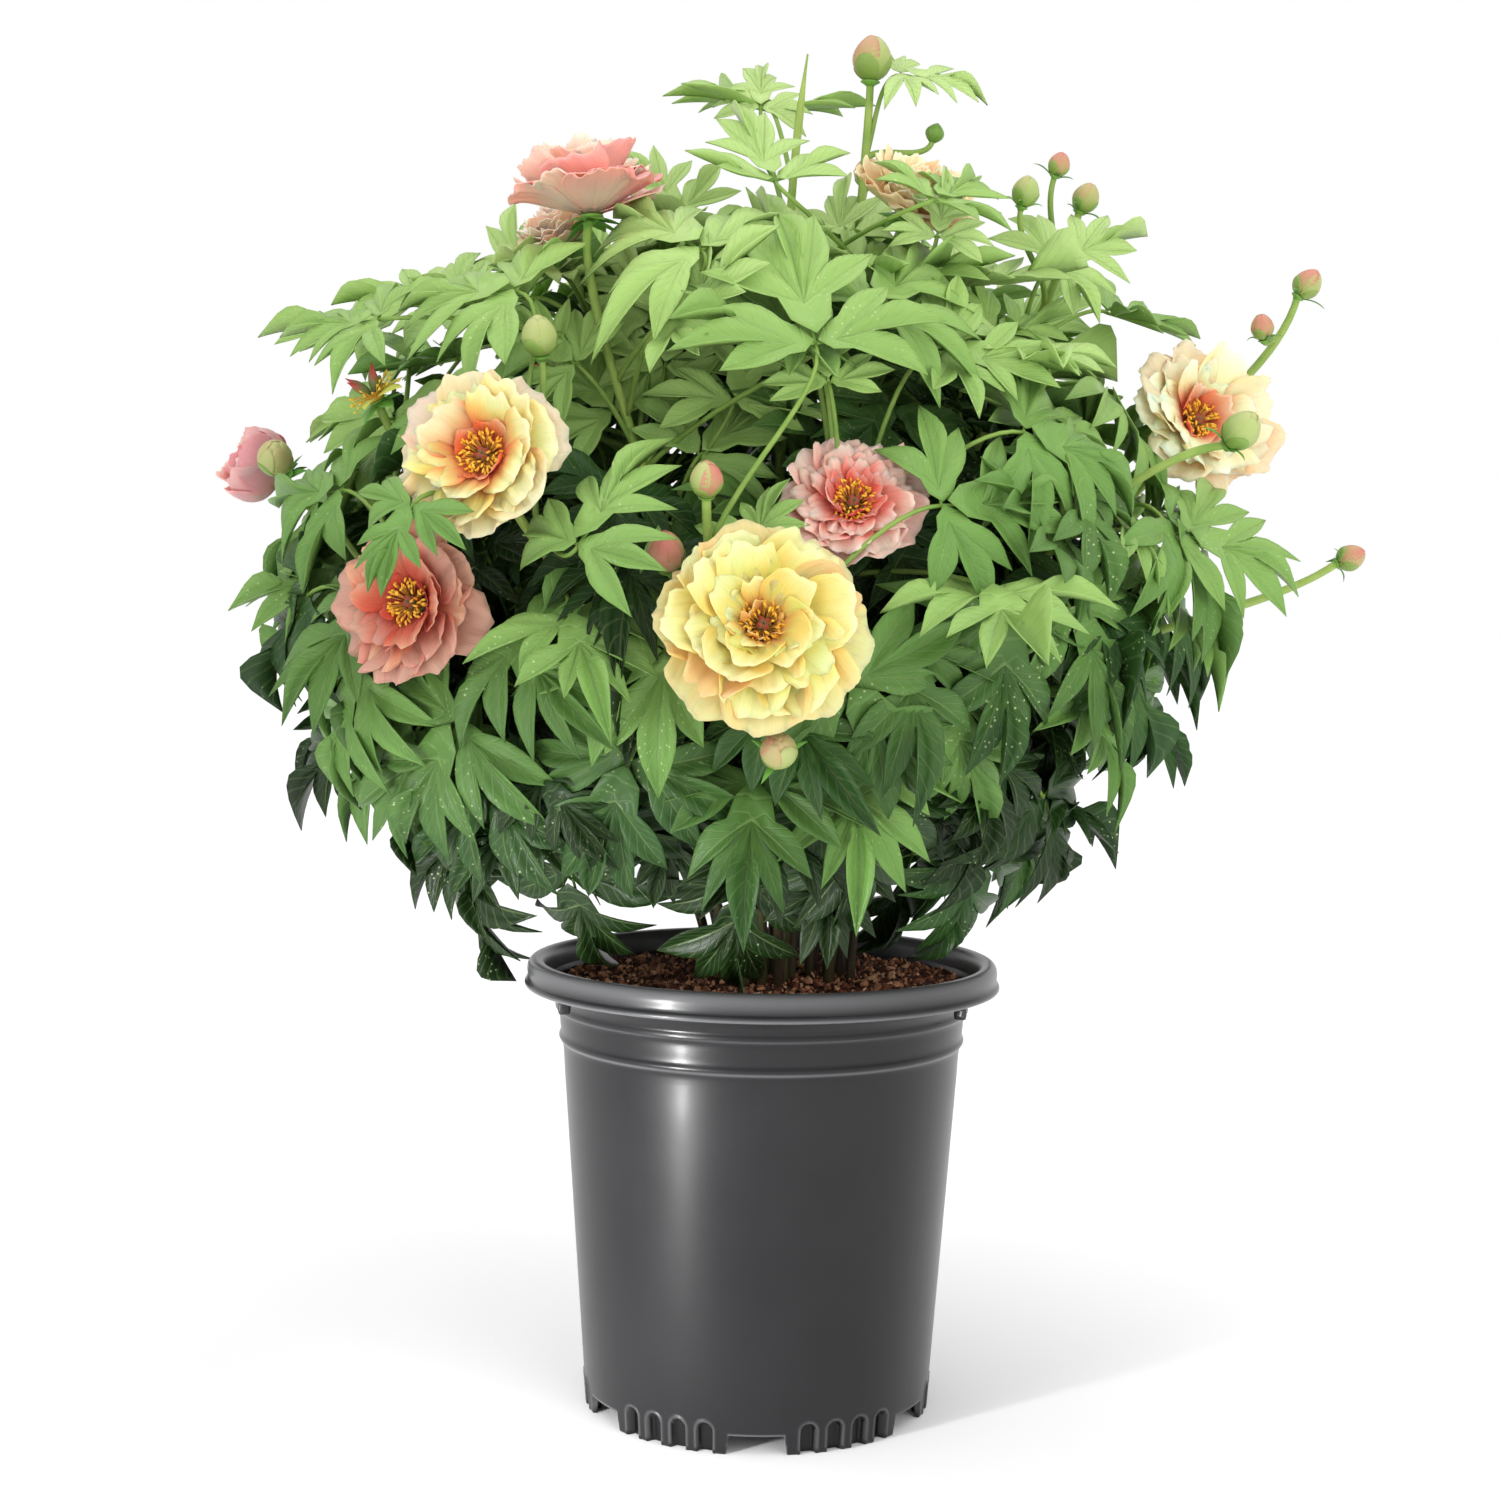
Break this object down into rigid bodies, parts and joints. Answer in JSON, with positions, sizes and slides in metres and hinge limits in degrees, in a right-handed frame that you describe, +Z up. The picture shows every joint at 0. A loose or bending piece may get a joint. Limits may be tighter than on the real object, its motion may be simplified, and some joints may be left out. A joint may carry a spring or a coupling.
{
  "type": "potted peony",
  "caption": "Bushy flowering peony with cut leaves, open layered blooms and round buds, growing in a round black plastic nursery pot.",
  "frame": {"origin": "middle of the flat pad under the pot's floor, on the ground", "axes": "+Z up along the pot's axis, -Y towards the side seen in the picture, +X to the right of that side"},
  "size_m": [0.6613, 0.5371, 0.7967],
  "materials": {
    "pot_plastic": "satin black moulded plastic",
    "potting_mix": "loose composted bark",
    "foliage": "matt leaf",
    "yellow_petals": "soft petal",
    "coral_petals": "soft petal",
    "peach_petals": "soft petal",
    "rose_petals": "soft petal",
    "stamens": "powdery anthers",
    "buds": "matt bud"
  },
  "bodies": {
    "root": {"bloom_01_petals": "yellow_petals", "bloom_01_stamens": "stamens", "bloom_02_petals": "yellow_petals", "bloom_02_stamens": "stamens", "bloom_03_petals": "coral_petals", "bloom_03_stamens": "stamens", "bloom_04_petals": "coral_petals", "bloom_04_stamens": "stamens", "bloom_05_petals": "peach_petals", "bloom_06_petals": "peach_petals", "bloom_07_petals": "yellow_petals", "bloom_07_stamens": "stamens", "bloom_08_petals": "rose_petals", "bloom_09_petals": "peach_petals", "bloom_10_petals": "yellow_petals", "bloom_10_stamens": "stamens", "bloom_11_petals": "peach_petals", "bloom_11_stamens": "stamens", "bloom_12_petals": "coral_petals", "bloom_12_stamens": "stamens", "bud_01": "buds", "bud_02": "buds", "bud_03": "buds", "bud_04": "buds", "bud_05": "buds", "bud_06": "buds", "bud_07": "buds", "bud_08": "buds", "bud_09": "buds", "bud_10": "buds", "bud_11": "buds", "bud_12": "buds", "bud_13": "buds", "bud_14": "buds", "leafy_stem_01": "foliage", "leafy_stem_02": "foliage", "leafy_stem_03": "foliage", "leafy_stem_04": "foliage", "leafy_stem_05": "foliage", "leafy_stem_06": "foliage", "leafy_stem_07": "foliage", "leafy_stem_08": "foliage", "leafy_stem_09": "foliage", "leafy_stem_10": "foliage", "leafy_stem_11": "foliage", "leafy_stem_12": "foliage", "leafy_stem_13": "foliage", "leafy_stem_14": "foliage", "leafy_stem_15": "foliage", "leafy_stem_16": "foliage", "leafy_stem_17": "foliage", "leafy_stem_18": "foliage", "leafy_stem_19": "foliage", "leafy_stem_20": "foliage", "pot": "pot_plastic", "potting_mix": "potting_mix", "spent_bloom": "stamens"}
  },
  "joints": []
}
